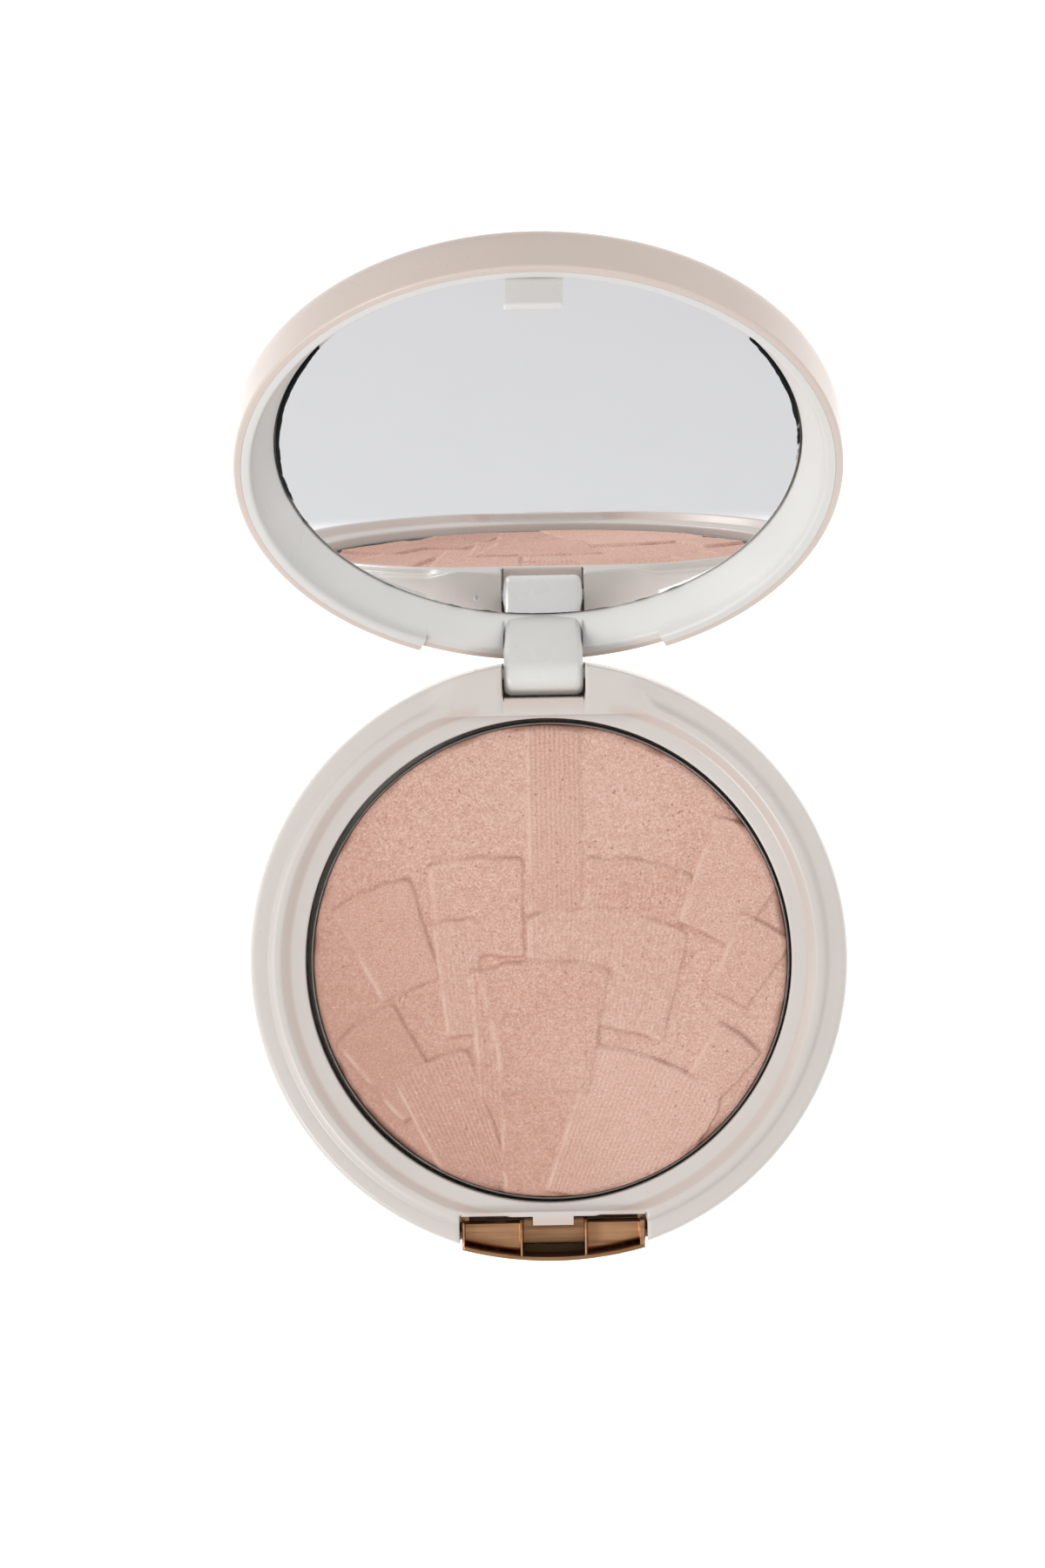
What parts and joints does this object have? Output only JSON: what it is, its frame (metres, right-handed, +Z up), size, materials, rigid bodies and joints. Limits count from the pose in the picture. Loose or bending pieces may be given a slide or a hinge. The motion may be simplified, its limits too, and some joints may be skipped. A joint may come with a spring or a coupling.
{
  "type": "powder compact",
  "caption": "Round pressed-powder compact with a hinged mirror lid, a metal powder pan and a sprung push-button latch, stored lying open.",
  "frame": {"origin": "centre of the base's flat underside, on the surface that the compact lies on", "axes": "+Z up, +Y towards the hinge at the back, +X to the right as seen by someone facing the push button"},
  "size_m": [0.0724, 0.1243, 0.0589],
  "materials": {
    "shell_plastic": "satin, warm pinkish white",
    "lid_frame_plastic": "satin, neutral white",
    "button_metallised": "metallised rose bronze",
    "pan_metal": "plain pressed sheet",
    "steel": "drawn wire and spring strip",
    "mirror_glass": "silvered glass, ground edge",
    "pressed_powder": "pressed powder, embossed",
    "adhesive": "double-sided tape"
  },
  "bodies": {
    "base": {"bottom_cup": "shell_plastic", "base_frame": "shell_plastic", "godet": "pan_metal", "powder_cake": "pressed_powder", "godet_adhesive": "adhesive", "hinge_pin": "steel", "return_spring": "steel"},
    "lid": {"lid_cover": "shell_plastic", "lid_frame": "lid_frame_plastic", "mirror": "mirror_glass", "mirror_adhesive": "adhesive"},
    "button": {"push_button": "button_metallised"}
  },
  "joints": [
    {"name": "lid_hinge", "type": "hinge", "parent": "base", "child": "lid", "pos_m": [0, 0.0346, 0.00715], "axis": [1, 0, 0], "range_deg": [0, 132]},
    {"name": "button_press", "type": "slide", "parent": "base", "child": "button", "axis": [0, 1, 0], "range_m": [0, 0.0007], "stiffness_N_per_m": 600, "deforming": ["return_spring"]}
  ]
}
